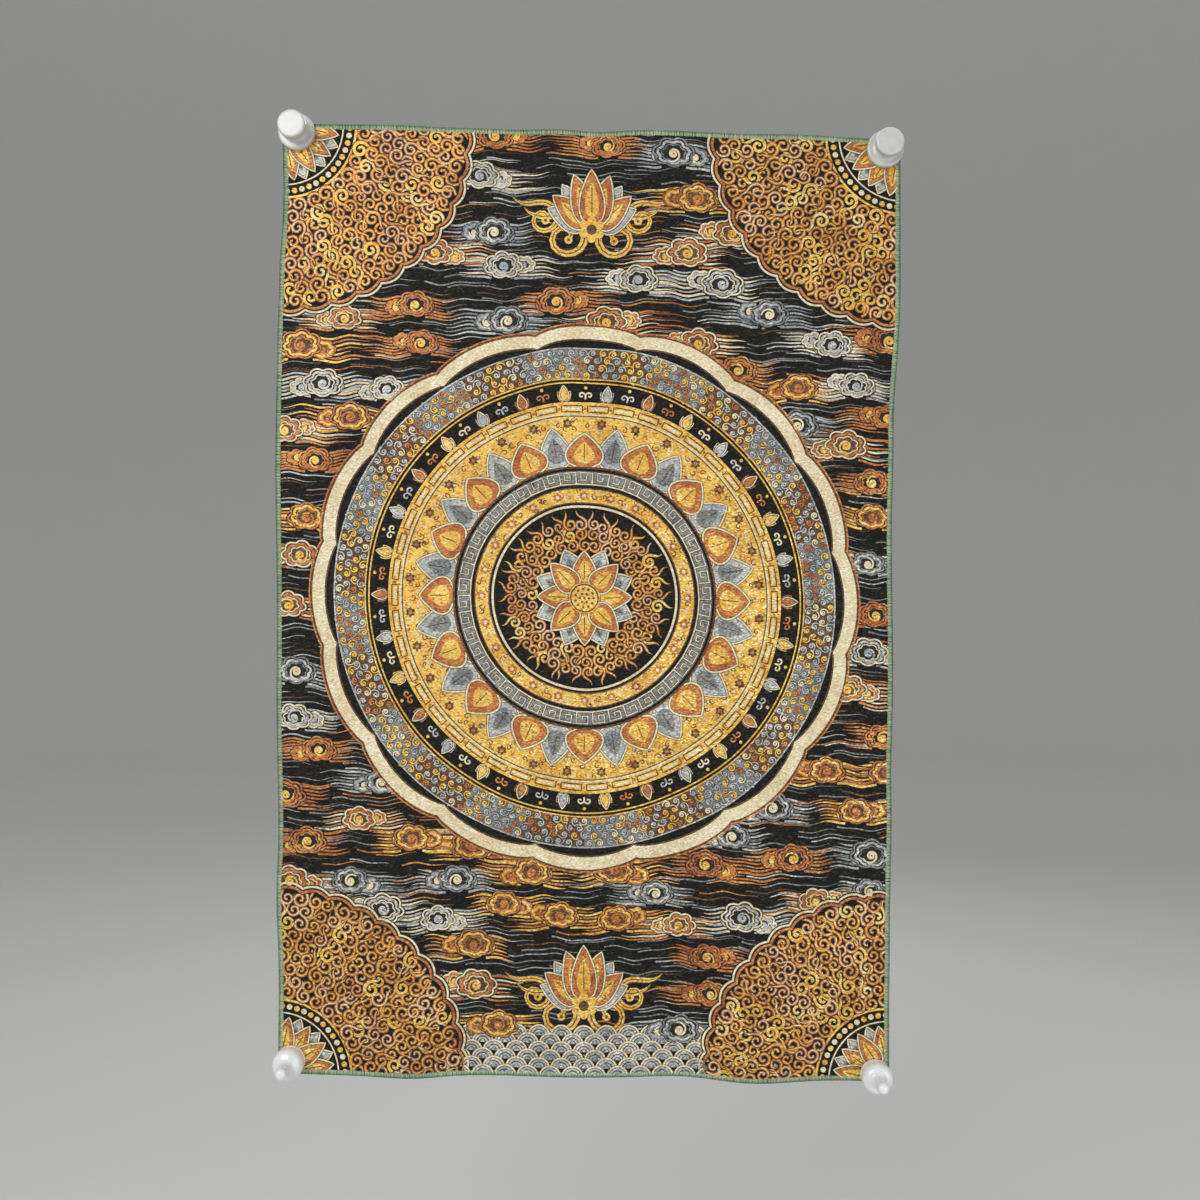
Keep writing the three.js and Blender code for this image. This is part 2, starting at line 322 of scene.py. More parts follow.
def sides_of(path, closed=False):
    """Unit vectors to the left of a path, at each of its points."""
    ahead = np.vstack([path[1:], path[1:2] if closed else path[-1:]])
    behind = np.vstack([path[-2:-1] if closed else path[:1], path[:-1]])
    along = ahead - behind
    along /= np.maximum(np.linalg.norm(along, axis=1, keepdims=True), 1e-9)
    return np.stack([-along[:, 1], along[:, 0]], axis=1)


def ribbon(threads, path, width, level, closed=False, keep=None, halo=0.0):
    """A line of stitches along a path, thickest in its middle. width may vary along it, and
    halo is how far a dark line reaches out from under it."""
    path = np.asarray(path, float)
    if closed:
        path = np.vstack([path, path[:1]])
    side = sides_of(path, closed)
    half = np.broadcast_to(np.asarray(width, float) / 2, len(path))[:, None]
    grid = np.stack([path - side * half, path, path + side * half], axis=1)
    lift = level * LAYER + np.array([0, CROWN, 0])
    threads.patch(grid, np.broadcast_to(lift, (len(path), 3)), keep)
    if halo:
        reach = half + halo
        grid = np.stack([path - side * reach, path + side * reach], axis=1)
        NIGHT.patch(grid, (level - HALO_DROP) * LAYER, keep)


def between(threads, inner, outer, rows, level, keep=None):
    """A filled shape between two paths of as many points."""
    share = np.linspace(0, 1, rows)[:, None, None]
    grid = np.asarray(inner)[None] * (1 - share) + np.asarray(outer)[None] * share
    threads.patch(grid, level * LAYER, keep)


def place(points, centre=(0, 0), turn=0.0, size=1.0, flip=False):
    """Local points turned, sized and moved to their place in the design."""
    x, y = np.asarray(points, float).T
    if flip:
        y = -y
    c, s = math.cos(turn), math.sin(turn)
    return np.stack([x * c - y * s, x * s + y * c], axis=1) * size + np.asarray(centre)


def rays(angle):
    """Unit vectors at angles."""
    return np.stack([np.cos(angle), np.sin(angle)], axis=-1)


def around(points, radius):
    """Points along and above a band, bent round the medallion at that radius."""
    along, up = np.asarray(points, float).T
    return rays(along / radius) * (radius + up)[:, None] + MEDALLION


def turns(count, phase=0.0):
    """Angles at even steps all round."""
    return (np.arange(count) + phase) * TAU / count


def polar(centre, radius, turn):
    return np.asarray(centre) + rays(turn) * radius


def circle(radius, steps, centre=(0, 0), phase=0.0):
    return rays(turns(steps, phase)) * radius + np.asarray(centre)


def looped(path):
    return np.vstack([path, path[:1]])


# A filled outline starts from a core of this share, and a wide one has more rows.
BLOB_CORE = 0.05
WIDE_BLOB = 15


def blob(threads, outline, centre, level, keep=None):
    """A filled closed outline."""
    core, rim = place(outline * BLOB_CORE, centre), place(outline, centre)
    rows = 2 if np.ptp(rim[:, 0]) < WIDE_BLOB else 4
    between(threads, looped(core), looped(rim), rows, level, keep)


def ring(threads, centre, inner, outer, level, steps=180, rows=2):
    """A plain round band."""
    inside = looped(circle(inner, steps, centre))
    between(threads, inside, looped(circle(outer, steps, centre)), rows, level)


def disc(threads, centre, radius, level, steps):
    blob(threads, circle(radius, steps), centre, level)


def wind(length, bend):
    """A path that leaves the origin along +X, from its bend at even steps."""
    step_length = length / (len(bend) - 1)
    heading = np.concatenate([[0], np.cumsum((bend[1:] + bend[:-1]) / 2) * step_length])
    step = rays(heading) * step_length
    return np.vstack([[0, 0], np.cumsum((step[1:] + step[:-1]) / 2, axis=0)])


def scroll(length, loose, tight, steps):
    """A stem that winds up to its left: its bend runs from 1 over loose to 1 over tight."""
    s = np.linspace(0, 1, steps)
    return wind(length, 1 / loose + (1 / tight - 1 / loose) * s**1.8)


def about_end(path, last=5):
    """A winding, moved so that its inner end turns about the origin."""
    return path - path[-last:].mean(axis=0)


# A flame: its length, the share of it that sways before it winds up, the widest and tightest
# radius of the winding, and how its width runs, for a flame about 1 across.
FLAME_LENGTH = 3.5
FLAME_TAIL = 0.3
FLAME_WIDE = 0.47
FLAME_TIGHT = 0.1
FLAME_STEPS = 23
FLAME_WIDTH = np.interp(np.linspace(0, 1, FLAME_STEPS), [0, 0.14, 0.4, 1], [0.0, 0.15, 0.205, 0.165])


def flame_line():
    """A flame's line. Its tip points along +X, it sways one way and then winds up evenly the
    other way, and it ends at the origin."""
    s = np.linspace(0, 1, FLAME_STEPS)
    wound = np.clip((s - FLAME_TAIL) / (1 - FLAME_TAIL), 0, 1)
    winding = 1 / np.sqrt(FLAME_WIDE**2 - (FLAME_WIDE**2 - FLAME_TIGHT**2) * wound)
    bend = np.where(wound > 0, winding, -2.0 + 4.1 * fade(0.1, FLAME_TAIL, s))
    path = about_end(wind(FLAME_LENGTH, bend))
    return place(path, turn=-math.atan2(path[0, 1], path[0, 0]))


FLAME = flame_line()


def taper(steps, start, middle, end):
    """Widths along a path."""
    return np.interp(np.linspace(0, 1, steps), [0, 0.5, 1], [start, middle, end])


def scallop(width, height, lobes, depth, steps, phase=0.0, base=1.0):
    """A closed outline of round lobes. base below 1 flattens its lower half."""
    angle = turns(steps)
    radius = 1 - depth + depth * np.abs(np.sin(lobes * angle / 2 + phase)) ** 0.8
    x, y = np.cos(angle) * radius * width, np.sin(angle) * radius * height
    return np.stack([x, np.where(y < 0, y * base, y)], axis=1)


def petal_edge(inner, outer, half_width, side, steps):
    """One edge of a petal that points along +X, from its foot to its pointed tip."""
    s = np.linspace(0, 1, steps)
    width = half_width * np.sin(math.pi * s**0.85) ** 0.75 * (1 - 0.25 * s)
    width += half_width * 0.45 * (1 - s) ** 2
    width[-1] = 0
    return np.stack([inner + (outer - inner) * s, side * width], axis=1)


# A petal's inside, as shares of the petal: how far it keeps from the foot and from the tip, its
# width, and how far the vein keeps from its ends.
HEART_FOOT = 0.12
HEART_TIP = 0.24
HEART_WIDTH = 0.55
VEIN_END = 0.08


def leaf(threads, centre, turn, inner, outer, half_width, level, steps=12):
    """A filled shape with a pointed tip, and its outline."""
    left, right = (
        place(petal_edge(inner, outer, half_width, side, steps), centre, turn) for side in (1, -1)
    )
    between(threads, left, right, 3, level)
    return np.vstack([left, right[-2::-1]])


def petal(fill, line, centre, turn, inner, outer, half_width, level, heart=None, thick=1.5):
    """A filled petal with an outline and, where heart is given, a smaller one inside."""
    outline = leaf(fill, centre, turn, inner, outer, half_width, level)
    ribbon(line, outline, thick, level + 0.8, halo=0.5)
    if heart is None:
        return
    span = outer - inner
    low, high = inner + span * HEART_FOOT, outer - span * HEART_TIP
    leaf(heart, centre, turn, low, high, half_width * HEART_WIDTH, level + 0.8, 9)
    vein = np.array([(low + span * VEIN_END, 0), (high - span * VEIN_END, 0)])
    ribbon(UMBER, place(vein, centre, turn), 0.9, level + 1.4)


# Each thread's dark tone, partly the warp's own colour and partly painted shade, its plain tone
# and its painted glint, the tint that it takes in patches, how metallic it is and how rough.
THREAD_LOOKS = {
    "gold": (("9a6c20", "f1bf48", "fff7b8"), "e6d8c0", 0.25, 0.42),
    "copper": (("74421c", "c67e3c", "ecb56c"), "d2b4b2", 0.25, 0.46),
    "silver": (("6c6c66", "bcbbb4", "f2f0e8"), "c6d0da", 0.25, 0.42),
    "cream": (("bcae7e", "e2d6b2", "fcf5e0"), "f0e8dc", 0.0, 0.6),
    "slate": (("3c3d3c", "82837e", "b0b0a8"), "c8d0dc", 0.1, 0.55),
    "umber": (("24180e", "604226", "8e6a3c"), "e4d0c8", 0.1, 0.6),
    "night": (("080706", "11100e", "28241e"), "ffffff", 0.0, 0.7),
}
PALETTE = [Threads(tone) for tone in THREAD_LOOKS]
GOLD, COPPER, SILVER, CREAM, SLATE, UMBER, NIGHT = PALETTE

# The medallion: its middle, its frame of round foils, and the radii of its bands.
MEDALLION = np.array([0.0, 6.0])
FOILS = 16
FOIL_DEPTH = 7.0
FOIL_INNER = 246.0
FOIL_WIDTH = 12.0
SWIRLS = (213.0, 244.0)
BUDS = (191.5, 208.5)
DASHES = (180.5, 189.0)
FIELD = (127.0, 178.0)
FRET = (110.0, 124.0)
INNER = (93.0, 107.0)
HEART_OUTER = 90.0

# The corner fans: the radii of their bands from the panel's corners.
FAN_PETALS = (22.0, 58.0)
FAN_BEADS = (61.0, 71.0)
FAN_FLAMES = (81.0, 174.0)
FAN_EDGE = 183.0
FAN_CENTRES = [
    (side * PANEL_WIDTH / 2, end * PANEL_HEIGHT / 2) for side in (-1, 1) for end in (-1, 1)
]


def foil_radius(angle):
    return FOIL_INNER + FOIL_DEPTH * np.abs(np.cos(FOILS * angle / 2)) ** 0.7


def in_field(middle):
    """Whether points lie outside the medallion and the corner fans."""
    offset = middle - MEDALLION
    angle = np.arctan2(offset[:, 1], offset[:, 0])
    free = np.hypot(*offset.T) > foil_radius(angle) + FOIL_WIDTH / 2
    for centre in FAN_CENTRES:
        free &= np.hypot(*(middle - centre).T) > FAN_EDGE
    return free


def foil_ring():
    """The cream ring of round foils that frames the medallion."""
    steps = FOILS * 24
    angle = np.arange(steps + 1) * TAU / steps
    ray, radius = rays(angle), foil_radius(angle)[:, None]
    between(CREAM, ray * radius + MEDALLION, ray * (radius + FOIL_WIDTH) + MEDALLION, 3, 5)
    lines = ((UMBER, -1, 1.2, 5), (UMBER, FOIL_WIDTH + 0.8, 1.6, 5), (COPPER, FOIL_WIDTH + 2.8, 1.5, 4.6))
    for tone, out, width, level in lines:
        ribbon(tone, ray * (radius + out) + MEDALLION, width, level)


def bent_round(threads, path, width, level, radius, halo=0.0):
    ribbon(threads, around(path, radius), width, level, halo=halo)


def swirl_band():
    """Four staggered rows of small windings, turned every way."""
    low, high = SWIRLS
    radius = (low + high) / 2
    arcs = 24
    for k in range(arcs):
        ray = rays(np.linspace(k, k + 1, 14) * TAU / arcs)
        ground = (SLATE, UMBER)[k % 2]
        between(ground, ray * (low + 1) + MEDALLION, ray * (high - 1) + MEDALLION, 5, 0.6)
    steps = np.linspace(0, TAU * radius, 480)
    for edge, tone in ((low + 0.6, GOLD), (high - 0.4, SILVER)):
        bent_round(tone, np.stack([steps, steps * 0 + edge - radius], axis=1), 1.3, 2, radius)
    rows, row_gap, count = 4, 7.2, 148
    pitch = TAU * radius / count
    winding = about_end(scroll(25, 5.2, 1.2, 20))
    for row in range(rows):
        for k in range(count):
            spot = ((k + 0.5 * (row % 2)) * pitch, (row - (rows - 1) / 2) * row_gap)
            tone = (SILVER, GOLD, SILVER, CREAM, GOLD, SILVER, COPPER)[rng.integers(7)]
            curl = place(winding, spot, rng.uniform(0, TAU), rng.uniform(0.92, 1.04), bool(k % 2))
            width = taper(len(curl), 0.9, 1.4, 1.2)
            bent_round(tone, curl, width, 1.6 + 0.3 * (row % 2), radius, halo=0.45)


def bud_band():
    """Lotus buds and small scrolls in turn, on black."""
    radius = sum(BUDS) / 2
    count = 60
    pitch = TAU * radius / count
    hook = scroll(17, 6, 1.3, 16)
    for k in range(count):
        at = k * pitch
        if k % 2:
            tone = (SILVER, CREAM, COPPER)[(k // 2) % 3]
            for flip in (False, True):
                curl = place(hook, (at, -6), math.pi / 2 + (0.35 if flip else -0.35), 1.0, flip)
                bent_round(tone, curl, taper(16, 1.0, 1.7, 1.2), 2, radius)
            disc(GOLD, around([[at, 5.4]], radius)[0], 1.7, 2, 8)
        else:
            tone = (COPPER, SILVER, GOLD)[(k // 2) % 3]
            base = around([[at, -7.2]], radius)[0]
            for lean in (-0.62, 0.62):
                petal(SLATE, tone, base, at / radius + lean, 0, 10.5, 3.2, 2, thick=1.0)
            petal(tone, CREAM, base, at / radius, 0, 14.6, 4.2, 3, thick=1.1)


def dash_band():
    """Dark frames with a cream bar in each, on gold."""
    low, high = DASHES
    radius = (low + high) / 2
    count = 46
    pitch = TAU * radius / count
    bow = np.linspace(-1, 1, 7)
    line = np.stack([bow, bow * 0], axis=1) * pitch * 0.4
    upper = line + (0, 3.0)
    border = looped(np.vstack([upper, -upper]))
    for k in range(count):
        at = np.array([k * pitch, 0])
        bent_round(UMBER, border + at, 1.3, 2, radius)
        bent_round(CREAM, line * 0.72 + at, 2.2, 2, radius)
        disc(COPPER, around([[at[0] + pitch / 2, 0]], radius)[0], 1.5, 2, 8)
    ring(GOLD, MEDALLION, low - 1.0, high + 0.8, 1, rows=3)
    ring(CREAM, MEDALLION, low - 2.4, low - 0.8, 3)
    ring(GOLD, MEDALLION, high + 0.6, high + 2.2, 3)
    ring(GOLD, MEDALLION, BUDS[1] + 0.8, BUDS[1] + 2.2, 3)


def rosette(centre, radius, outer, inner, level):
    """A small flower of six round petals."""
    blob(outer, scallop(radius, radius, 6, 0.34, 30), centre, level)
    disc(inner, centre, radius * 0.4, level + 1, 8)


def diaper(radii, tones, spacing, level):
    """Small scrolls scattered over a ring of the medallion."""
    low, high = radii
    rows = round((high - low) / spacing)
    hook = scroll(13, 4.2, 1.1, 14)
    for row in range(rows):
        radius = low + (row + 0.5) * (high - low) / rows
        count = round(TAU * radius / spacing)
        for station in circle(radius, count, MEDALLION, 0.5 * (row % 2)):
            spot = station + rng.uniform(-0.8, 0.8, 2)
            curl = place(hook, spot, rng.uniform(0, TAU), rng.uniform(0.8, 1.15), rng.random() < 0.5)
            tone = tones[rng.integers(len(tones))]
            ribbon(tone, curl, taper(14, 0.6, 1.2, 0.9), level, keep=in_ring(low + 0.6, high - 0.6))


def in_ring(low, high):
    return lambda middle: np.abs(np.hypot(*(middle - MEDALLION).T) - (low + high) / 2) < (high - low) / 2


def wreath(centre, angles, fill, inner, outer, half_width, level, heart, thick=1.5, stagger=0.0):
    """Petals round a middle, every second one raised by stagger."""
    for k, turn in enumerate(angles):
        raised = level + stagger * (k % 2)
        petal(fill, CREAM, centre, turn, inner, outer, half_width, raised, heart, thick)


def gold_field():
    """The bright field: scrolls, a wreath of two rows of pointed petals, and rosettes."""
    low, high = FIELD
    petals = 16
    ring(GOLD, MEDALLION, low, high, 1, rows=8, steps=220)
    diaper((low + 2, high - 2), (UMBER, COPPER, UMBER, SLATE, CREAM), 8.6, 1.5)
    wreath(MEDALLION, turns(petals, 0.5), SILVER, low + 1, 167, 14.0, 2.4, SLATE, 1.6)
    wreath(MEDALLION, turns(petals), COPPER, low + 1, 161, 17.0, 4.2, GOLD, 1.8)
    for spot in circle(170.5, petals * 2, MEDALLION, 0.5):
        rosette(spot, 4.8, UMBER, COPPER, 2.6)
    ring(UMBER, MEDALLION, high - 1.0, high + 0.2, 3)
    ring(UMBER, MEDALLION, low - 0.6, low + 1.4, 6)


def fret_band():
    """A key fret in cream on slate, and a gold ring with rosettes inside it."""
    low, high = FRET
    radius = (low + high) / 2
    rise = (high - low) / 2 - 1.4
    count = 46
    pitch = TAU * radius / count
    key = np.array([(0, -1), (0, 1), (0.7, 1), (0.7, -0.3), (0.36, -0.3), (0.36, 0.35)])
    foot = np.array([(0, -1), (1, -1)])
    ring(SLATE, MEDALLION, low, high, 0.8, rows=4)
    for k in range(count):
        bent_round(CREAM, (key + (k, 0)) * (pitch, rise), 1.3, 2, radius, halo=0.6)
        bent_round(CREAM, (foot + (k, 0)) * (pitch, rise), 1.2, 2, radius, halo=0.6)
    low, high = INNER
    ring(GOLD, MEDALLION, low, high, 1, rows=4)
    diaper((low, high), (UMBER, COPPER, CREAM), 8.2, 1.5)
    for spot in circle((low + high) / 2, 24, MEDALLION):
        rosette(spot, 4.6, COPPER, CREAM, 2.6)
    for edge in INNER:
        ring(UMBER, MEDALLION, edge - 0.6, edge + 0.6, 3)
    ring(CREAM, MEDALLION, HEART_OUTER - 1.6, HEART_OUTER + 0.6, 3)


# Flames in rows, as shares of a flame: from row to row, from flame to flame, and how wide the
# pale line on its back is.
FLAME_ROW = 0.74
FLAME_GAP = 0.9
PALE_LINE = 0.34


def flame(centre, turn, size, flip, level, keep, bright, pale):
    """A flame scroll with a pale line along its back."""
    line = place(FLAME, centre, turn, size, flip)
    ribbon(bright, line, FLAME_WIDTH * size, level, keep=keep, halo=0.05 * size)
    ribbon(pale, line, FLAME_WIDTH * size * PALE_LINE, level + 0.45, keep=keep)


def flames(centre, radii, start, sweep, size, keep, crowd=1.0):
    """Rows of flame scrolls round a middle, tips outwards, the outer rows under the inner."""
    low, high = radii
    rows = max(1, round((high - low) / (size * FLAME_ROW)))
    for row in range(rows, -1, -1):
        radius = low + (high - low) * row / rows
        count = max(3, round(radius * sweep / (size * FLAME_GAP) * crowd))
        for k in range(count):
            turn = start + (k + 0.5 * (row % 2) + 0.25) * sweep / count
            spot = polar(centre, radius, turn) + rng.uniform(-0.07, 0.07, 2) * size
            lean = rng.uniform(-0.35, 0.35)
            pale = (GOLD, GOLD, GOLD, CREAM)[rng.integers(4)]
            bright = (COPPER, COPPER, COPPER, COPPER, GOLD)[rng.integers(5)]
            level = 1.0 + 0.95 * ((rows - row + k) % 4)
            flame(spot, turn + lean, size * rng.uniform(0.92, 1.12), k % 2 == 0, level, keep, bright, pale)


def heart():
    """The dark middle: a wreath of flame scrolls round a lotus of two rows of petals."""
    flames(MEDALLION, (53, 73), 0, TAU, 12.5, in_ring(0, HEART_OUTER - 2.5), crowd=0.97)
    wreath(MEDALLION, turns(8, 0.5), SILVER, 14, 50, 13, 5.2, SLATE)
    wreath(MEDALLION, turns(8), COPPER, 12, 46, 11, 7.0, GOLD, stagger=1.8)
    ring(GOLD, MEDALLION, 0.5, 15, 10.6, steps=48)
    ring(UMBER, MEDALLION, 12.6, 14, 11.2, steps=48)
    for count, radius in ((1, 0), (6, 4.4), (11, 9.0)):
        for spot in circle(radius, count, MEDALLION):
            disc(UMBER, spot, 1.3, 11.2, 7)


def fan(centre):
    """A quarter lotus at a corner, with rows of flame scrolls inside a scalloped edge."""
    first = math.floor(math.atan2(-centre[1], -centre[0]) / (math.pi / 2)) * math.pi / 2
    centre = np.array(centre)
    sweep = math.pi / 2
    foot, tip = FAN_PETALS
    ring(GOLD, centre, 0.5, foot, 7, steps=80)
    under = first + np.arange(5) * sweep / 4
    over = first + (np.arange(4) + 0.5) * sweep / 4
    wreath(centre, under, SILVER, foot, tip, 10, 2, SLATE)
    wreath(centre, over, COPPER, foot - 2, tip - 2, 8.8, 3.6, GOLD, stagger=1.6)
    ring(CREAM, centre, tip + 1, tip + 2.4, 2, steps=160)
    for k in range(14):
        spot = polar(centre, sum(FAN_BEADS) / 2, first + (k + 0.5) * sweep / 14)
        disc(GOLD if k % 2 else CREAM, spot, 2.8, 2, 10)
    ring(GOLD, centre, FAN_BEADS[1], FAN_BEADS[1] + 2.2, 2, steps=200)
    flames(centre, FAN_FLAMES, first, sweep, 15.0, in_fan(centre))
    edge = np.linspace(first - 0.02, first + sweep + 0.02, 260)
    radius = (FAN_EDGE + 4.5 * np.abs(np.sin((edge - first) * 22)) ** 0.8)[:, None]
    ribbon(CREAM, centre + rays(edge) * radius, 1.9, 5, halo=1.2)
    ribbon(COPPER, centre + rays(edge) * (radius - 4.0), 2.4, 5, halo=0.8)


def in_fan(centre):
    return lambda middle: np.hypot(*(middle - centre).T) < FAN_EDGE - 2.5


# Clouds

# Main line, outer line, fill and winding of each kind of cloud.
CLOUD_KINDS = (
    (SILVER, SLATE, NIGHT, CREAM),
    (SILVER, CREAM, NIGHT, SILVER),
    (COPPER, CREAM, UMBER, GOLD),
    (GOLD, COPPER, UMBER, COPPER),
    (COPPER, COPPER, NIGHT, GOLD),
)
HEAD_LOBES = 7
CLOUD_SIZES = (16.0, 20.5)
# The least distance from one cloud head to the next, across and up.
CLOUDS_APART = (55, 33)
# The open sky starts this far from a cloud head, and its streams are this far apart.
SKY_START = (17, 13)
STREAM_GAP = 4.9


def drift(s, t):
    """How all the lines of the sky wave together."""
    return 1.5 * np.sin(s / 9.5 + 1.2 * np.sin(t / 41)) + 0.8 * np.sin(s / 4.7 + t / 19)


def stream(threads, start, length, direction, width, level, keep):
    """One line that waves off sideways to a point."""
    steps = max(6, int(length / 2.9))
    share = np.linspace(0, 1, steps)
    s = start[0] + direction * length * share
    t = start[1] + (drift(s, start[1]) - drift(start[0], start[1]))
    line = np.stack([s, t], axis=1)
    ribbon(threads, line, taper(steps, width, width * 0.9, 0.3), level, keep=keep)


def cloud_head(centre, size, kind, level, flip):
    """Round lobes in three lines, and a winding in the middle."""
    main, outer, fill, core = kind
    head = scallop(size, size * 0.8, HEAD_LOBES, 0.2, 49, rng.uniform(0, math.pi), base=0.78)
    blob(fill, head, centre, level, in_field)
    for tone, share, width, halo in ((outer, 1, 1.6, 0.8), (main, 0.78, 2.3, 0), (outer, 0.59, 1.1, 0)):
        ribbon(tone, place(head * share, centre), width, level + 0.6, True, in_field, halo)
    winding = about_end(scroll(size * 2.5, size * 0.4, size * 0.09, 24), 6)
    line = place(winding, centre, rng.uniform(0, TAU), 1.0, flip)
    ribbon(core, line, taper(24, 1.2, 2.5, 2.0), level + 1, keep=in_field)


def cloud(centre, size, kind):
    """A scroll cloud: streaming tails, a hook to either side, a small head and a large one."""
    main, outer = kind[:2]
    side = 1 if rng.random() < 0.5 else -1
    for k in range(-3, 4):
        for direction in (-1, 1):
            reach = rng.uniform(1.5, 3.2) if direction == side else rng.uniform(1.0, 1.8)
            start = centre + np.array([direction * size * 0.6, k * size * 0.185 - size * 0.1])
            tone = main if k % 2 else outer
            stream(tone, start, size * reach, direction, rng.uniform(1.7, 2.3), 1, in_field)
    for direction in (-1, 1):
        hook = scroll(size * 1.9, size * 0.62, size * 0.1, 20)
        start = centre + np.array([direction * size * 0.5, -size * 0.5])
        line = place(hook, start, 0 if direction > 0 else math.pi, 1.0, flip=direction < 0)
        ribbon(main, line, taper(20, 1.4, 2.3, 1.5), 1.8, keep=in_field, halo=0.9)
    small = centre + np.array([side * size * 1.05, size * rng.uniform(-0.3, 0.2)])
    cloud_head(small, size * 0.62, kind, 2.4, side > 0)
    cloud_head(centre, size, kind, 3.6, side < 0)


def cloud_spots():
    """Spots for cloud heads, none too near another or a figure. Each is tested against the
    middles and half-widths of what is there already."""
    taken = [(MEDALLION, FOIL_INNER + FOIL_WIDTH + 10), ((0, -REACH_T), (128, 56))]
    taken += [(centre, FAN_EDGE + 4) for centre in FAN_CENTRES]
    taken += [((s, t + 20), (88, 60)) for s, t in PALMETTES]
    spots = []
    for _ in range(5000):
        spot = rng.uniform((-REACH_S, -REACH_T + 14), (REACH_S, REACH_T - 4))
        if all(np.hypot(*((spot - middle) / reach)) >= 1 for middle, reach in taken):
            taken.append((spot, CLOUDS_APART))
            spots.append(spot)
    return spots


def clouds():
    """The clouds, and long streams in the open sky between them."""
    spots = cloud_spots()
    for spot in spots:
        cloud(spot, rng.uniform(*CLOUD_SIZES), CLOUD_KINDS[rng.integers(len(CLOUD_KINDS))])

    def open_sky(middle):
        away = (middle[:, None, :] - np.array(spots)) / SKY_START
        return in_field(middle) & (np.hypot(away[..., 0], away[..., 1]).min(axis=1) > 1)

    for t in np.arange(-REACH_T + 2, REACH_T, STREAM_GAP):
        s = -REACH_S - rng.uniform(0, 60)
        while s < REACH_S:
            length = rng.uniform(30, 85)
            tone = (SLATE, UMBER, SILVER, SLATE, COPPER, SLATE)[rng.integers(6)]
            stream(tone, (s, t), length, 1, rng.uniform(0.9, 1.6), 0.4, open_sky)
            s += length + rng.uniform(8, 50)


# Wave scales and palmettes

PALMETTES = ((0.0, 366.0), (0.0, -392.0))
PALMETTE_SIZE = 1.55
# The scrolls beside a palmette: place to the side, height and size.
PALMETTE_SCROLLS = ((17, -3, 30), (31, 8, 22))
# Its two rows of petals: fill, heart, leans, length, how much a lean takes off it, foot and
# level.
PALMETTE_PETALS = (
    (SILVER, SLATE, (-1.15, 1.15, -0.6, 0.6), 36, 5, 5, 2.8),
    (COPPER, GOLD, (-0.88, 0.88, -0.32, 0.32, 0.0), 38, 7, 4, 6.4),
)
SCALE_REACH = 11.0
SCALE_ROWS = 6
# The lines of a wave scale: radius, thread and width.
SCALE_LINES = ((10.0, CREAM, 1.7), (7.4, SILVER, 2.2), (4.4, SILVER, 1.9))


def wave_scales():
    """Rows of round wave scales along the foot, the lower rows over the upper."""
    arc = rays(np.linspace(0, math.pi, 15))
    for row in range(SCALE_ROWS):
        t = -REACH_T + (SCALE_ROWS - 1 - row) * SCALE_REACH * 0.72 - 2
        reach = 5 + row
        for k in range(-reach, reach + 1):
            spot = np.array([(k + 0.5 * (row % 2)) * SCALE_REACH * 2, t])
            level = 1.6 + 0.75 * row
            between(SLATE, arc * 0.5 + spot, arc * SCALE_REACH + spot, 2, level, in_field)
            for radius, tone, width in SCALE_LINES:
                ribbon(tone, arc * radius + spot, width, level + 0.3, keep=in_field, halo=0.5)
            disc(SILVER, spot + (0, 1.6), 1.5, level + 0.3, 8)


def palmette(base):
    """A lotus palmette between two pairs of scrolls."""
    up = math.pi / 2
    wide = PALMETTE_SIZE
    for flip in (False, True):
        for reach, rise, size in PALMETTE_SCROLLS:
            spot = np.array(base) + np.array([-reach if flip else reach, rise]) * wide
            stem = place(FLAME, spot, up + (1.0 if flip else -1.0), size * wide, flip)
            width = FLAME_WIDTH * np.linspace(0.95, 0.55, len(FLAME)) * size * wide
            ribbon(GOLD, stem, width, 1.2, halo=1.2)
            ribbon(UMBER, stem, width * 0.24, 1.7)
            disc(GOLD, stem[-1], 2.6 * wide, 2.0, 12)
            disc(UMBER, stem[-1], 1.0 * wide, 2.6, 8)
    for fill, inside, leans, length, less, foot, low in PALMETTE_PETALS:
        for k, lean in enumerate(leans):
            reach, level = (length - less * abs(lean)) * wide, low + 1.8 * (k // 2)
            petal(fill, CREAM, base, up + lean, foot * wide, reach, 7.5 * wide, level, inside)
    rosette(base, 8.5 * wide, GOLD, UMBER, 11.8)


# Build the design

foil_ring()
swirl_band()
bud_band()
dash_band()
gold_field()
fret_band()
heart()
for corner in FAN_CENTRES:
    fan(corner)
wave_scales()
for base in PALMETTES:
    palmette(base)
clouds()


# Cloth

CLOTH_COLUMNS = 131
CLOTH_ROWS = 201
CUT_INSET = 0.9


def cloth():
    """The woven ground: a front and a back, joined round the cut edge."""
    columns, rows = CLOTH_COLUMNS, CLOTH_ROWS
    inset_s, inset_t = CUT_INSET / PANEL_WIDTH, CUT_INSET / PANEL_HEIGHT
    across = np.linspace(inset_s, 1 - inset_s, columns)
    down = np.linspace(inset_t, 1 - inset_t, rows)
    u, v = np.meshgrid(across, down)
    front, back = (hang_shares(u, v, depth).reshape(-1, 3) for depth in (CLOTH_FRONT, CLOTH_BACK))
    face = grid_quads(rows, columns)
    count = rows * columns
    rim = np.concatenate([
        np.arange(columns - 1),
        np.arange(rows - 1) * columns + columns - 1,
        count - 1 - np.arange(columns - 1),
        (rows - 1 - np.arange(rows - 1)) * columns,
    ])
    after = np.roll(rim, -1)
    edge = np.stack([rim, after, after + count, rim + count], axis=1)
    points = np.concatenate([front, back])
    shown = flat_map(points) * 0.5
    shown[count:, 0] += 0.5
    return mesh_object("cloth", points, np.concatenate([face[:, ::-1], face + count, edge]), shown)


# Materials

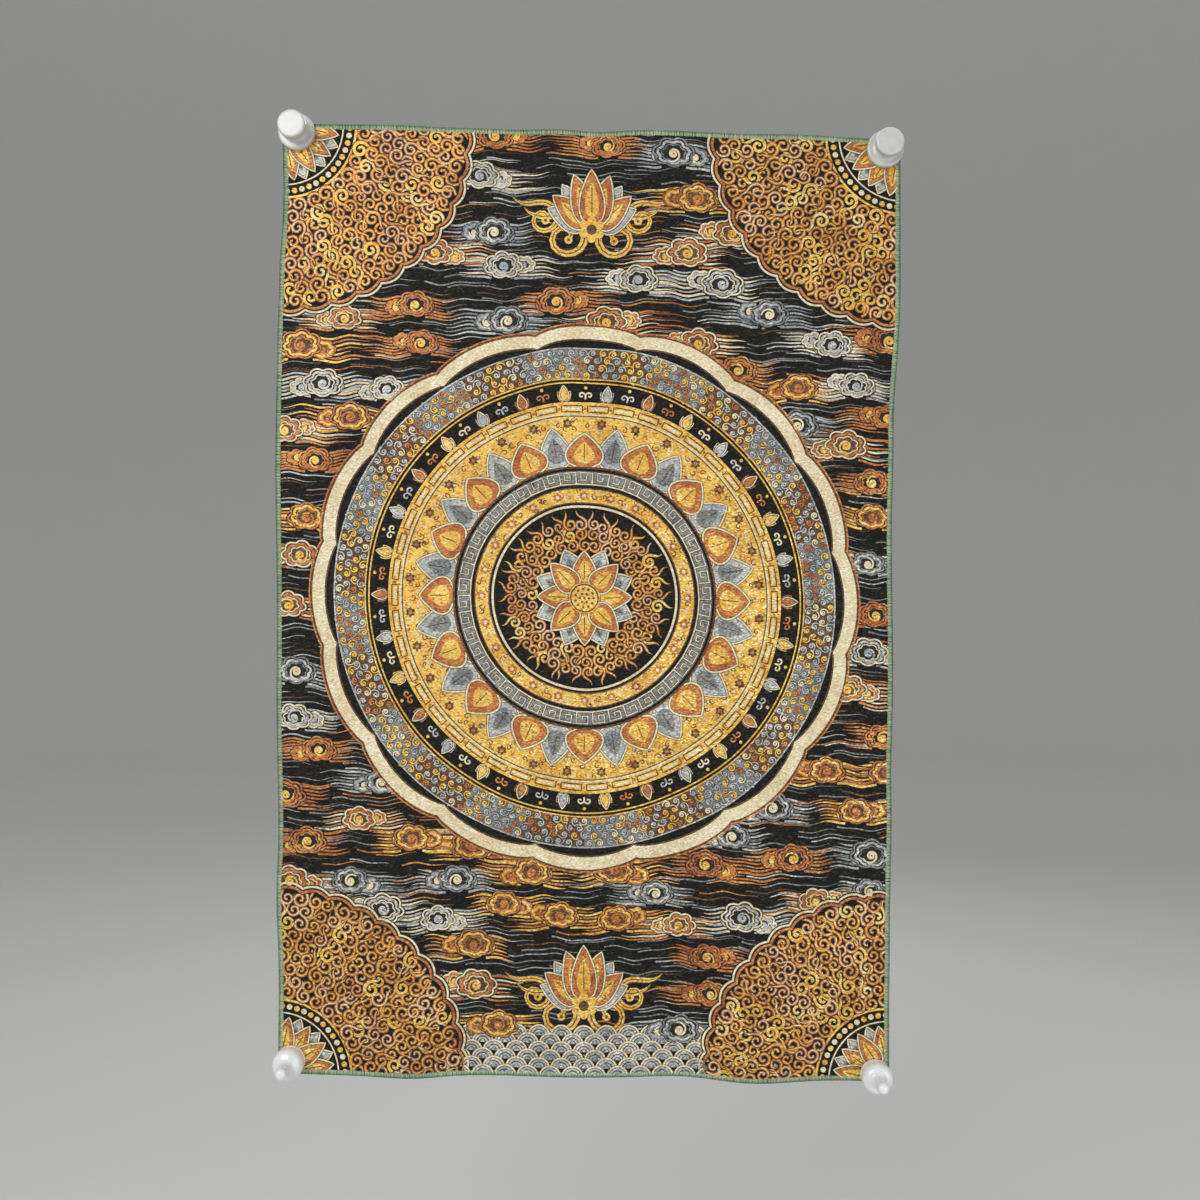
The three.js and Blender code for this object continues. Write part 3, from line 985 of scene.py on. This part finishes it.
def material(name):
    made = bpy.data.materials.new(name)
    made.use_nodes = True
    tree = made.node_tree
    return made, tree, tree.nodes["Principled BSDF"]


def put(tree, socket, value):
    """Gives an input a value, or the output of another node."""
    if isinstance(value, bpy.types.NodeSocket):
        tree.links.new(value, socket)
    else:
        socket.default_value = value


def feed(tree, node, **values):
    """Sets a node's settings and its inputs by name."""
    for key, value in values.items():
        if hasattr(node, key):
            setattr(node, key, value)
        else:
            put(tree, node.inputs[key.replace("_", " ")], value)
    return node


def add(tree, kind, **values):
    """A node of a kind, with its settings and its inputs."""
    return feed(tree, tree.nodes.new("ShaderNode" + kind), **values)


def maths(tree, operation, *values, kind="Math"):
    """What a maths node makes of its inputs."""
    node = add(tree, kind, operation=operation)
    for socket, value in zip([s for s in node.inputs if s.enabled], values):
        put(tree, socket, value)
    return next(s for s in node.outputs if s.enabled)


def vector_maths(tree, operation, *values):
    return maths(tree, operation, *values, kind="VectorMath")


def spot_of(tree):
    """Where on the object, in metres."""
    return add(tree, "TexCoord").outputs["Object"]


def mottle(tree, where, scale, detail=3.0):
    """Soft noise of a scale, between 0 and 1."""
    return add(tree, "TexNoise", Vector=where, Scale=scale, Detail=detail).outputs["Fac"]


def colour_of(value):
    """A linear colour from a web one, or a grey from a number."""
    if not isinstance(value, str):
        return [value] * 3 + [1]
    parts = [int(value[i : i + 2], 16) / 255 for i in (0, 2, 4)]
    return [p / 12.92 if p < 0.04045 else ((p + 0.055) / 1.055) ** 2.4 for p in parts] + [1]


def ramp(tree, factor, stops):
    """A colour that runs through stops of place and colour."""
    node = add(tree, "ValToRGB", Fac=factor)
    elements = node.color_ramp.elements
    while len(elements) < len(stops):
        elements.new(0.5)
    for element, (at, value) in zip(elements, stops):
        element.position = at
        element.color = colour_of(value)
    return node.outputs["Color"]


# Stitches, as length and pitch in metres, how far each row is shifted against the next, and how
# much they tilt.
FIGURE_STITCH = (0.0019, 0.00105)
GROUND_STITCH = (0.0024, 0.0009)
REVERSE_FLOAT = (0.012, 0.0011)
ROW_SHIFT = 0.37
FIGURE_TILT = 0.32
GROUND_TILT = 0.22


def stitch_cells(tree, length, pitch):
    """Random values, one for each stitch, and where each point is: cells of that length in
    rows of that pitch, each row shifted against the next, as the picks of a weave are."""
    where = spot_of(tree)
    split = add(tree, "SeparateXYZ", Vector=where)
    row = maths(tree, "FLOOR", maths(tree, "DIVIDE", split.outputs["Z"], pitch))
    along = maths(tree, "DIVIDE", split.outputs["X"], length)
    column = maths(tree, "FLOOR", maths(tree, "ADD", along, maths(tree, "MULTIPLY", row, ROW_SHIFT)))
    cell = add(tree, "CombineXYZ", X=column, Y=row).outputs[0]
    return add(tree, "TexWhiteNoise", noise_dimensions="3D", Vector=cell), where


def tilted(tree, noise, amount):
    """Each stitch faces a little its own way, so that metal thread glints unevenly."""
    turn = vector_maths(tree, "SUBTRACT", noise.outputs["Color"], (0.5, 0.5, 0.5))
    turn = vector_maths(tree, "SCALE", turn, amount)
    facing = add(tree, "NewGeometry").outputs["Normal"]
    return vector_maths(tree, "NORMALIZE", vector_maths(tree, "ADD", facing, turn))


def thread_material(name, tones, tint, metallic, roughness):
    """Figure threads: stitches that differ one by one, from a dark tone, partly painted shade, to a
    painted glint, and take a tint in patches."""
    made, tree, shader = material(name)
    noise, where = stitch_cells(tree, *FIGURE_STITCH)
    value = noise.outputs["Value"]
    dark, base, light = tones
    # The lightest stitches are painted glints; the darkest are partly painted shade.
    tone = ramp(tree, value, [(0.0, dark), (0.2, base), (0.72, base), (0.9, light), (1.0, light)])
    worn = ramp(tree, mottle(tree, where, 34.0), [(0.35, tint), (0.65, "ffffff")])
    mixed = add(tree, "Mix", data_type="RGBA", blend_type="MULTIPLY", Factor=1.0, A=tone, B=worn)
    rough = add(tree, "MapRange", Value=value, To_Min=roughness + 0.14, To_Max=roughness - 0.1)
    colour, uneven = mixed.outputs["Result"], rough.outputs["Result"]
    normal = tilted(tree, noise, FIGURE_TILT)
    feed(tree, shader, Base_Color=colour, Roughness=uneven, Metallic=metallic, Normal=normal)
    return made


def ground_material():
    """The ground of the brocade: blue-black, in fine ribs, with stray lighter picks."""
    made, tree, shader = material("brocade_ground")
    noise, _ = stitch_cells(tree, *GROUND_STITCH)
    tone = ramp(tree, noise.outputs["Value"], [
        (0.0, "080807"), (0.55, "121211"), (0.9, "242320"), (1.0, "443c2c"),
    ])
    normal = tilted(tree, noise, GROUND_TILT)
    feed(tree, shader, Base_Color=tone, Roughness=0.8, Specular_IOR_Level=0.25, Normal=normal)
    return made


# How light the reverse is at shares of this reach, in metres, from the medallion's middle and
# from the nearest corner.
REVERSE_REACH = 0.3
REVERSE_MEDALLION = (
    (0.0, 0.5), (0.12, 0.45), (0.17, 0.3), (0.26, 0.3), (0.28, 0.05), (0.3, 0.6),
    (0.355, 0.6), (0.37, 0.4), (0.41, 0.4), (0.43, 0.75), (0.62, 0.7), (0.64, 0.05),
    (0.695, 0.05), (0.71, 0.4), (0.81, 0.4), (0.83, 0.9), (0.87, 0.9), (0.89, 0.15),
)
REVERSE_FANS = (
    (0.0, 0.5), (0.19, 0.5), (0.21, 0.1), (0.25, 0.1), (0.27, 0.55), (0.6, 0.5),
    (0.61, 0.8), (0.63, 0.0),
)


def ring_share(tree, flat, centre, stops):
    """How light the reverse is, by the distance from a middle."""
    share = maths(tree, "DIVIDE", vector_maths(tree, "DISTANCE", flat, centre), REVERSE_REACH)
    return ramp(tree, share, stops)


def back_material():
    """The reverse: floats of all the threads lie in dull streaks across it, denser behind the
    bright bands of the design."""
    made, tree, shader = material("brocade_reverse")
    noise, where = stitch_cells(tree, *REVERSE_FLOAT)
    middle = (TOP_LEFT[1] + TOP_RIGHT[1] + BOTTOM_LEFT[1] + BOTTOM_RIGHT[1]) / 4
    flat = vector_maths(tree, "MULTIPLY_ADD", where, (1, 0, 1), (0, 0, -middle * MM))
    mirrored = vector_maths(tree, "ABSOLUTE", flat)
    corner = (PANEL_WIDTH / 2 * MM, 0, PANEL_HEIGHT / 2 * MM)
    medallion = ring_share(tree, flat, (0, 0, MEDALLION[1] * MM), REVERSE_MEDALLION)
    bands = maths(tree, "MAXIMUM", medallion, ring_share(tree, mirrored, corner, REVERSE_FANS))
    total = maths(tree, "MULTIPLY_ADD", bands, 0.45, noise.outputs["Value"])
    tone = ramp(tree, total, [
        (0.0, "15161a"), (0.45, "26241f"), (0.72, "57452c"), (0.86, "74767a"), (1.0, "96794c"),
    ])
    feed(tree, shader, Base_Color=tone, Roughness=0.78)
    return made


def edging_material():
    """Sage green thread, lightest along the middle of the band and darker where it turns under: painted
    shade, and partly the darker fuzz there.
    """
    made, tree, shader = material("overlock_thread_with_painted_shade")
    where = spot_of(tree)
    loop_shade_and_tone = add(tree, "Attribute", attribute_name="tone")
    # The loop attribute holds painted shade across the band, plus each loop's own random tone.
    worn = maths(tree, "MULTIPLY_ADD", mottle(tree, where, 24.0), 0.5, -0.25)
    uneven = maths(tree, "MULTIPLY_ADD", mottle(tree, where, 900.0, 2.0), 0.3, worn)
    tone = ramp(tree, maths(tree, "ADD", loop_shade_and_tone.outputs["Fac"], uneven), [
        (0.1, "2a4030"), (0.4, "587a5a"), (0.7, "88a37e"), (1.0, "bcc8a4"),
    ])
    feed(tree, shader, Base_Color=tone, Roughness=0.7, Sheen_Weight=0.1)
    return made


def pin_material(name, shaded, plain):
    """Glossy moulded plastic, a little uneven in its white."""
    made, tree, shader = material(name)
    uneven = mottle(tree, spot_of(tree), 140.0)
    tone = ramp(tree, uneven, [(0.3, shaded), (0.7, plain)])
    rough = ramp(tree, uneven, [(0.3, 0.16), (0.7, 0.26)])
    feed(tree, shader, Base_Color=tone, Roughness=rough, Coat_Weight=0.35, Coat_Roughness=0.08)
    return made


for threads in PALETTE:
    figure = threads.build()
    finish = thread_material(threads.name + "_thread", *THREAD_LOOKS[threads.name])
    figure.data.materials.append(finish)
    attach(figure, "root")


# Pins

PIN_SEGMENTS = 72
WELD_REACH = 1e-6


def turned(profile, segments):
    """A profile of radius and height, turned all round: its two ways across, and its height."""
    radius, height = np.array(profile, float).T[..., None]
    angle = np.arange(segments + 1) * TAU / segments
    across, up = radius * np.cos(angle), radius * np.sin(angle)
    return across, up, np.broadcast_to(height, across.shape)


def lathe(name, profile, spot):
    """A turned piece whose axis points out of the wall, from radius and height in mm."""
    across, up, height = turned(profile, PIN_SEGMENTS)
    points = np.stack([spot[0] + across, -(PIN_BACK + height), spot[1] + up], axis=-1) * MM
    piece = mesh_object(name, points.reshape(-1, 3), grid_quads(len(profile), PIN_SEGMENTS + 1))
    weld(piece)
    return piece


def weld(piece):
    """Joins points that coincide and turns the faces outwards."""
    work = bmesh.new()
    work.from_mesh(piece.data)
    bmesh.ops.remove_doubles(work, verts=work.verts, dist=WELD_REACH)
    bmesh.ops.recalc_face_normals(work, faces=work.faces)
    work.to_mesh(piece.data)
    work.free()


def outline(*parts):
    """Points of a line. Each part is a point, or a smooth corner as the point that it bends
    towards, its end and its number of steps."""
    path = []
    for part in parts:
        if len(part) == 2:
            path.append(np.array(part))
            continue
        start, control, end = path[-1], np.array(part[0]), np.array(part[1])
        t = np.linspace(0, 1, part[2] + 1)[1:, None]
        path += list(start * (1 - t) ** 2 + control * 2 * t * (1 - t) + end * t * t)
    return path


def spool_profile():
    """Half of a spool's outline: a base, a waist and a head."""
    base, base_top = 17.8, 7.0
    waist, waist_mid = 9.0, 12.5
    head, under, top = 13.6, 18.5, 26.0
    r = 2.6
    return outline(
        (0.0, 0.0), (base - 0.5, 0.0), (base, 0.5), (base, base_top - r),
        ((base, base_top), (base - r, base_top), 8),
        ((waist, base_top), (waist, waist_mid), 8),
        ((waist, under), (head - r / 2, under), 8),
        ((head, under), (head, under + r / 2), 8),
        (head, top - r),
        ((head, top), (head - r, top), 8),
        (head * 0.5, top + 0.15), (0.0, top + 0.2),
    )


def dome_profile():
    """Half of a domed pin's outline: a low base, a groove, a shallow dome, a neck and a nub."""
    base, base_top = 14.6, 3.4
    groove, groove_mid = 13.9, 4.5
    bulge, bulge_mid, dome_top = 15.1, 11.0, 19.5
    neck, nub, nub_under, top = 5.4, 5.9, 27.0, 40.5
    r = 3.4
    return outline(
        (0.0, 0.0), (base - 0.5, 0.0), (base, 0.5), (base, base_top - 0.8),
        ((base, base_top), (groove, groove_mid), 4),
        ((bulge, groove_mid), (bulge, bulge_mid), 8),
        ((bulge, dome_top - r / 2), (neck + r, dome_top), 14),
        ((neck, dome_top + r / 2), (neck, dome_top + 2 * r), 5),
        (neck, nub_under),
        ((nub, nub_under), (nub, top - nub), 6),
        ((nub, top), (0.0, top), 10),
    )


# The domed pins' white is set lighter than the spools', partly their own plastic and partly painted light
# making up for the dimmer light at the panel's foot.
SPOOL_WHITE = pin_material("spool_plastic", "c3c4c1", "cccdca")
DOME_WHITE_PAINTED_LIGHTER = pin_material("dome_plastic_painted_lighter", "e2e4e7", "eaecef")
for node, spot in PIN_SPOTS.items():
    profile, white = (spool_profile(), SPOOL_WHITE) if "top" in node else (dome_profile(), DOME_WHITE_PAINTED_LIGHTER)
    pin = lathe(node.replace("pin_", "wall_pin_"), profile, spot)
    pin.data.materials.append(white)
    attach(pin, "root")
    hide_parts(node)


# Edging

# The loops: their distance, how many of these each slants over, how far from the corners they
# stop on the sides and on the two ends, and how much they differ in place, shape and tone.
LOOP_PITCH = 1.45
LOOP_SLANT = 1.1
LOOPS_STOP = {"left": 0.6, "right": 0.6, "top": 6.4, "bottom": 6.4}
PLACE_JITTER = 0.09
SHAPE_JITTER = 0.12
TONE_JITTER = 0.06
# Painted shade across the band: how light the thread is where it turns under, and how much
# lighter along the band's middle.
UNDER_PAINTED_SHADE = 0.14
MIDDLE_LIFT_OVER_SHADE = 0.62

# A loop's path, as the distance in from the cut edge and out from the wall side, and a section
# of its strand.
LOOP_PATH = np.array([
    (5.3, 1.95), (4.9, 2.35), (3.2, 2.5), (1.2, 2.42), (0.45, 2.1),
    (0.18, 1.4), (0.45, 0.7), (1.2, 0.4), (3.2, 0.3), (4.9, 0.6),
])
LOOP_SECTION = np.array([(-0.62, 0.0), (0.0, 0.24), (0.62, 0.0), (0.0, -0.2)])


def strand_quads(rings, corners):
    """Quads of a tube of rings with four corners each, closed at both ends."""
    row, column = np.divmod(grid_quads(rings, corners + 1), corners + 1)
    last = rings * corners
    caps = [[0, 1, 2, 3], [last - 1, last - 2, last - 3, last - 4]]
    return np.concatenate([row * corners + column % corners, caps])


def edging(side):
    """Thread loops wrapped round one cut side, each a flattened strand that slants a little."""
    upright = side in ("left", "right")
    far = side in ("right", "bottom")
    length, across_length = (PANEL_HEIGHT, PANEL_WIDTH) if upright else (PANEL_WIDTH, PANEL_HEIGHT)
    stop = LOOPS_STOP[side]
    count = int((length - 2 * stop) / LOOP_PITCH)
    outward = -sides_of(LOOP_PATH)
    along, out = LOOP_SECTION.T
    lean = np.linspace(0.0, 1.0, len(LOOP_PATH))[:, None] * LOOP_PITCH * LOOP_SLANT
    # Painted shade: darker where the loops turn under at the cut edge and at their inner ends.
    light = np.interp(LOOP_PATH[:, 0], [0.4, 2.6, 4.7, 5.4], [0, 1, 1, 0.45])
    light = UNDER_PAINTED_SHADE + MIDDLE_LIFT_OVER_SHADE * light
    strand = strand_quads(len(LOOP_PATH), len(LOOP_SECTION))
    points, quads, tones = [], [], []
    for k in range(count):
        start = stop + (k + 0.5) * LOOP_PITCH + rng.normal(0, PLACE_JITTER)
        wobble = rng.normal(0, SHAPE_JITTER, 2)
        fat = rng.uniform(0.88, 1.12)
        at = start + lean * (1 + wobble[0]) + along * fat
        reach = LOOP_PATH[:, :1] + outward[:, :1] * out * fat
        reach[0] += wobble[1] * 2
        depth = LOOP_PATH[:, 1:] + outward[:, 1:] * out * fat
        inward = 1 - reach / across_length if far else reach / across_length
        shares = (inward, at / length) if upright else (at / length, inward)
        points.append(hang_shares(*shares, depth).reshape(-1, 3))
        tones.append(np.repeat(light + rng.normal(0, TONE_JITTER), len(LOOP_SECTION)))
        quads.append(strand + k * len(LOOP_PATH) * len(LOOP_SECTION))
    piece = mesh_object("edging_" + side, np.concatenate(points), np.concatenate(quads))
    shade = piece.data.attributes.new("tone", "FLOAT", "POINT")
    shade.data.foreach_set("value", np.concatenate(tones).astype(np.float32))
    weld(piece)
    return piece


THREAD = edging_material()
for side in SIDES:
    piece = edging(side)
    piece.data.materials.append(THREAD)
    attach(piece, "root")
    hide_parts("overlock_" + side)

ground = cloth()
ground.data.materials.append(ground_material())
ground.data.materials.append(back_material())
front_count = (CLOTH_COLUMNS - 1) * (CLOTH_ROWS - 1)
for index, polygon in enumerate(ground.data.polygons):
    polygon.material_index = 0 if index < front_count else 1
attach(ground, "root")
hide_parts("cloth_panel")


# Floor, light and camera

# The backdrop, in metres: the floor's height, how far it lies flat, the radius of its bend up,
# and its top.
FLOOR_HEIGHT = -1.35
FLOOR_REACH = 6.0
FLOOR_BEND = 3.0
BACKDROP_TOP = 5.4
BACKDROP_SEGMENTS = 64

# The lamps: name, place and size in metres, and power in watts. They all point near the
# panel's middle.
LAMPS = (
    ("key", (-1.2, -2.1, 0.45), 1.5, 39),
    ("fill", (1.5, -1.8, -1.0), 1.8, 22),
    ("rear", (0.5, 1.9, 0.8), 1.4, 16),
)
LAMP_AIM = Vector((0, 0, -0.45))

# Where the camera stands, in metres, and how wide it sees, in degrees.
CAMERA_SPOT = (0.0086, -1.179, -0.4577)
CAMERA_ANGLE = 53.0


def backdrop():
    """A pale floor that bends up all round, far off."""
    bow = np.linspace(0, math.pi / 2, 13)
    reach = FLOOR_REACH + FLOOR_BEND * np.sin(bow)
    rise = np.stack([reach, FLOOR_HEIGHT + FLOOR_BEND - FLOOR_BEND * np.cos(bow)], axis=1)
    profile = np.vstack([[(0.0001, FLOOR_HEIGHT)], rise, [(FLOOR_REACH + FLOOR_BEND, BACKDROP_TOP)]])
    points = np.stack(turned(profile, BACKDROP_SEGMENTS), axis=-1).reshape(-1, 3)
    paper = mesh_object("backdrop", points, grid_quads(len(profile), BACKDROP_SEGMENTS + 1))
    pale, tree, shader = material("pale_paper")
    feed(tree, shader, Base_Color=(0.66, 0.66, 0.65, 1), Roughness=1.0, Specular_IOR_Level=0.0)
    paper.data.materials.append(pale)


def daylight():
    """An even light all round, and soft lamps."""
    world = bpy.data.worlds.new("studio")
    bpy.context.scene.world = world
    world.use_nodes = True
    tree = world.node_tree
    feed(tree, tree.nodes["Background"], Color=(0.87, 0.87, 0.86, 1), Strength=0.6)
    for name, spot, size, power in LAMPS:
        light = bpy.data.lights.new(name, "AREA")
        light.size = size
        light.energy = power
        lamp = new_object(name, light)
        lamp.location = spot
        lamp.rotation_euler = (LAMP_AIM - Vector(spot)).to_track_quat("-Z", "Y").to_euler()


def camera():
    """Square on to the wall, at the place that the pins' lean in the photograph gives."""
    lens = bpy.data.cameras.new("camera")
    lens.sensor_fit = "HORIZONTAL"
    lens.angle = math.radians(CAMERA_ANGLE)
    seen = new_object("camera", lens)
    seen.location = CAMERA_SPOT
    seen.rotation_euler = (math.pi / 2, 0, 0)
    bpy.context.scene.camera = seen


backdrop()
daylight()
camera()
bpy.context.scene.view_settings.view_transform = "Standard"
